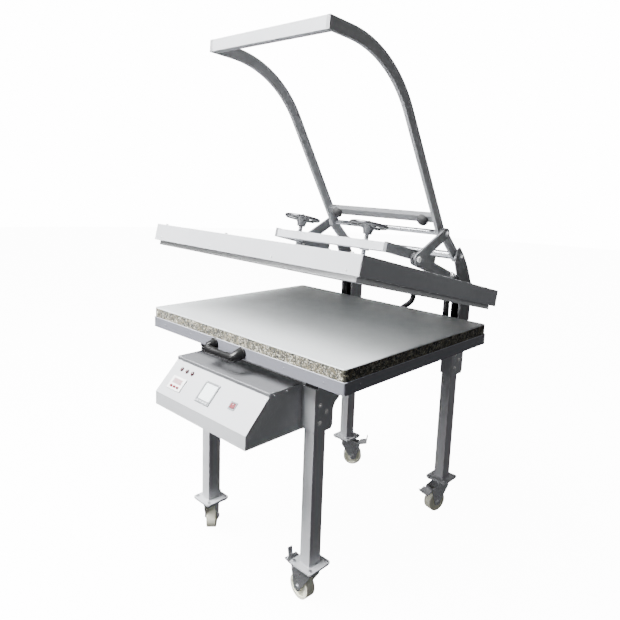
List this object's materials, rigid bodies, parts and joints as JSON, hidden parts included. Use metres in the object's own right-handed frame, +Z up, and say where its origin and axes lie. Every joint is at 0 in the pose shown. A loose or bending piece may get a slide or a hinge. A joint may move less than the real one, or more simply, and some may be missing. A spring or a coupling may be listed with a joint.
{
  "type": "heat press",
  "caption": "Large floor-standing swing heat press with drawer bed, heated platen and linked handle, on casters, shown open.",
  "frame": {"origin": "on the floor, in the middle of the machine's footprint", "axes": "+X to the operator's right, +Y to the rear, +Z up"},
  "size_m": [1.038, 1.1839, 1.901],
  "materials": {
    "frame_paint": "satin",
    "zinc": "satin",
    "polished_steel": "polished",
    "black_steel": "satin",
    "bare_aluminium": "satin",
    "speckled_foam": "matte",
    "insulation": "matte",
    "black_rubber": "matte",
    "cable_sleeve": "matte",
    "black_plastic": "satin",
    "white_plastic": "satin",
    "grey_plastic": "satin",
    "red_plastic": "gloss",
    "red_lens": "gloss",
    "cream_nylon": "satin"
  },
  "bodies": {
    "stand": {"legs": "frame_paint", "leg_brackets": "frame_paint", "bed_frame": "frame_paint", "outer_runners": "zinc", "uprights": "frame_paint", "pivot_plates": "frame_paint", "pivot_fittings": "zinc", "strut_brackets": "frame_paint", "junction_box": "black_plastic", "heater_cable": "cable_sleeve", "control_box": "frame_paint", "control_back": "frame_paint", "indicator_lamps": "red_lens", "controller_case": "white_plastic", "panel_frames": "grey_plastic", "caster_plates": "zinc"},
    "bed": {"tray": "frame_paint", "foam_pad": "speckled_foam", "pull_handle": "black_plastic", "inner_runners": "zinc"},
    "handle": {"handle_arms": "frame_paint", "handle_bar": "frame_paint", "cross_tube": "frame_paint", "elbow_shaft": "polished_steel", "pivot_shaft": "polished_steel", "bumpers": "black_rubber"},
    "link_left": {"link_left": "frame_paint"},
    "link_right": {"link_right": "frame_paint"},
    "carrier": {"crossbeam": "frame_paint", "carrier_arms": "frame_paint", "hinge_plates": "frame_paint", "screw_nuts": "zinc"},
    "platen": {"platen_cover": "frame_paint", "insulation_board": "insulation", "heating_plate": "bare_aluminium", "screw_bridge": "frame_paint"},
    "wheel_screw_left": {"handwheel_left": "zinc", "screw_left": "polished_steel"},
    "wheel_screw_right": {"handwheel_right": "zinc", "screw_right": "polished_steel"},
    "rocker": {"rocker_switch": "red_plastic"},
    "key_1": {"button_1": "red_plastic"},
    "key_2": {"button_2": "red_plastic"},
    "key_3": {"button_3": "red_plastic"},
    "strut_cylinder_left": {"strut_cylinder_left": "black_steel"},
    "strut_rod_left": {"strut_rod_left": "polished_steel"},
    "strut_cylinder_right": {"strut_cylinder_right": "black_steel"},
    "strut_rod_right": {"strut_rod_right": "polished_steel"},
    "fork_fl": {"caster_fork_fl": "zinc"},
    "roller_fl": {"caster_wheel_fl": "cream_nylon"},
    "pedal_fl": {"caster_pedal_fl": "zinc"},
    "fork_fr": {"caster_fork_fr": "zinc"},
    "roller_fr": {"caster_wheel_fr": "cream_nylon"},
    "pedal_fr": {"caster_pedal_fr": "zinc"},
    "fork_rl": {"caster_fork_rl": "zinc"},
    "roller_rl": {"caster_wheel_rl": "cream_nylon"},
    "pedal_rl": {"caster_pedal_rl": "zinc"},
    "fork_rr": {"caster_fork_rr": "zinc"},
    "roller_rr": {"caster_wheel_rr": "cream_nylon"},
    "pedal_rr": {"caster_pedal_rr": "zinc"}
  },
  "joints": [
    {"name": "bed_slide", "type": "slide", "parent": "stand", "child": "bed", "axis": [0, -1, 0], "range_m": [0, 0.4]},
    {"name": "carrier_swing", "type": "hinge", "parent": "stand", "child": "carrier", "pos_m": [0, 0.537, 1.016], "axis": [1, 0, 0], "range_deg": [0, 13.3]},
    {"name": "handle_swing", "type": "hinge", "parent": "stand", "child": "handle", "pos_m": [0, 0.452, 1.144], "axis": [1, 0, 0], "range_deg": [0, 30.4]},
    {"name": "link_swing_left", "type": "hinge", "parent": "handle", "child": "link_left", "pos_m": [-0.307, 0.348, 1.241], "axis": [1, 0, 0], "range_deg": [-22.75, 0]},
    {"name": "strut_tilt_left", "type": "hinge", "parent": "stand", "child": "strut_cylinder_left", "pos_m": [-0.282, 0.434, 0.852], "axis": [1, 0, 0], "range_deg": [0, 1.88]},
    {"name": "strut_stroke_left", "type": "slide", "parent": "strut_cylinder_left", "child": "strut_rod_left", "axis": [0, 0, 1], "range_m": [-0.0248, 0]},
    {"name": "link_swing_right", "type": "hinge", "parent": "handle", "child": "link_right", "pos_m": [0.307, 0.348, 1.241], "axis": [1, 0, 0], "range_deg": [-22.75, 0]},
    {"name": "strut_tilt_right", "type": "hinge", "parent": "stand", "child": "strut_cylinder_right", "pos_m": [0.282, 0.434, 0.852], "axis": [1, 0, 0], "range_deg": [0, 1.88]},
    {"name": "strut_stroke_right", "type": "slide", "parent": "strut_cylinder_right", "child": "strut_rod_right", "axis": [0, 0, 1], "range_m": [-0.0248, 0]},
    {"name": "platen_height", "type": "slide", "parent": "carrier", "child": "platen", "axis": [0, 0.23, 0.9732], "range_m": [-0.019, 0]},
    {"name": "handwheel_turn_left", "type": "hinge", "parent": "platen", "child": "wheel_screw_left", "pos_m": [-0.173, 0.03161, 1.27316], "axis": [0, 0.23, 0.9732], "range_deg": [-1711, 0]},
    {"name": "handwheel_turn_right", "type": "hinge", "parent": "platen", "child": "wheel_screw_right", "pos_m": [0.173, 0.03161, 1.27316], "axis": [0, 0.23, 0.9732], "range_deg": [-1711, 0]},
    {"name": "rocker_tilt", "type": "hinge", "parent": "stand", "child": "rocker", "pos_m": [0.132, -0.54764, 0.71979], "axis": [1, 0, 0], "range_deg": [0, 12]},
    {"name": "key_press_1", "type": "slide", "parent": "stand", "child": "key_1", "axis": [0, 0.7362, -0.6767], "range_m": [0, 0.002], "stiffness_N_per_m": 300},
    {"name": "key_press_2", "type": "slide", "parent": "stand", "child": "key_2", "axis": [0, 0.7362, -0.6767], "range_m": [0, 0.002], "stiffness_N_per_m": 300},
    {"name": "key_press_3", "type": "slide", "parent": "stand", "child": "key_3", "axis": [0, 0.7362, -0.6767], "range_m": [0, 0.002], "stiffness_N_per_m": 300},
    {"name": "swivel_fl", "type": "hinge", "parent": "stand", "child": "fork_fl", "pos_m": [-0.281, -0.33, 0.13], "axis": [0, 0, 1], "continuous": true},
    {"name": "roll_fl", "type": "hinge", "parent": "fork_fl", "child": "roller_fl", "pos_m": [-0.30546, -0.30638, 0.045], "axis": [-0.6947, -0.7193, 0], "continuous": true},
    {"name": "brake_fl", "type": "hinge", "parent": "fork_fl", "child": "pedal_fl", "pos_m": [-0.32416, -0.28832, 0.104], "axis": [-0.6947, -0.7193, 0], "range_deg": [0, 32]},
    {"name": "swivel_fr", "type": "hinge", "parent": "stand", "child": "fork_fr", "pos_m": [0.281, -0.33, 0.13], "axis": [0, 0, 1], "continuous": true},
    {"name": "roll_fr", "type": "hinge", "parent": "fork_fr", "child": "roller_fr", "pos_m": [0.24708, -0.32763, 0.045], "axis": [-0.0698, -0.9976, 0], "continuous": true},
    {"name": "brake_fr", "type": "hinge", "parent": "fork_fr", "child": "pedal_fr", "pos_m": [0.22115, -0.32581, 0.104], "axis": [-0.0698, -0.9976, 0], "range_deg": [0, 32]},
    {"name": "swivel_rl", "type": "hinge", "parent": "stand", "child": "fork_rl", "pos_m": [-0.281, 0.503, 0.13], "axis": [0, 0, 1], "continuous": true},
    {"name": "roll_rl", "type": "hinge", "parent": "fork_rl", "child": "roller_rl", "pos_m": [-0.25573, 0.52575, 0.045], "axis": [-0.6691, 0.7431, 0], "continuous": true},
    {"name": "brake_rl", "type": "hinge", "parent": "fork_rl", "child": "pedal_rl", "pos_m": [-0.23641, 0.54315, 0.104], "axis": [-0.6691, 0.7431, 0], "range_deg": [0, 32]},
    {"name": "swivel_rr", "type": "hinge", "parent": "stand", "child": "fork_rr", "pos_m": [0.281, 0.503, 0.13], "axis": [0, 0, 1], "continuous": true},
    {"name": "roll_rr", "type": "hinge", "parent": "fork_rr", "child": "roller_rr", "pos_m": [0.27277, 0.47001, 0.045], "axis": [0.9703, -0.2419, 0], "continuous": true},
    {"name": "brake_rr", "type": "hinge", "parent": "fork_rr", "child": "pedal_rr", "pos_m": [0.26648, 0.44478, 0.104], "axis": [0.9703, -0.2419, 0], "range_deg": [-32, 0]}
  ],
  "couplings": [
    {"joint": "handle_swing", "follows": "carrier_swing", "ratio": 2.285},
    {"joint": "link_swing_left", "follows": "carrier_swing", "ratio": -1.7073},
    {"joint": "strut_tilt_left", "follows": "carrier_swing", "ratio": 0.14043},
    {"joint": "strut_stroke_left", "follows": "carrier_swing", "m_per_rad": -0.10595},
    {"joint": "handwheel_turn_left", "follows": "platen_height", "rad_per_m": 1570.8},
    {"joint": "link_swing_right", "follows": "carrier_swing", "ratio": -1.7073},
    {"joint": "strut_tilt_right", "follows": "carrier_swing", "ratio": 0.14043},
    {"joint": "strut_stroke_right", "follows": "carrier_swing", "m_per_rad": -0.10595},
    {"joint": "handwheel_turn_right", "follows": "platen_height", "rad_per_m": 1570.8}
  ]
}
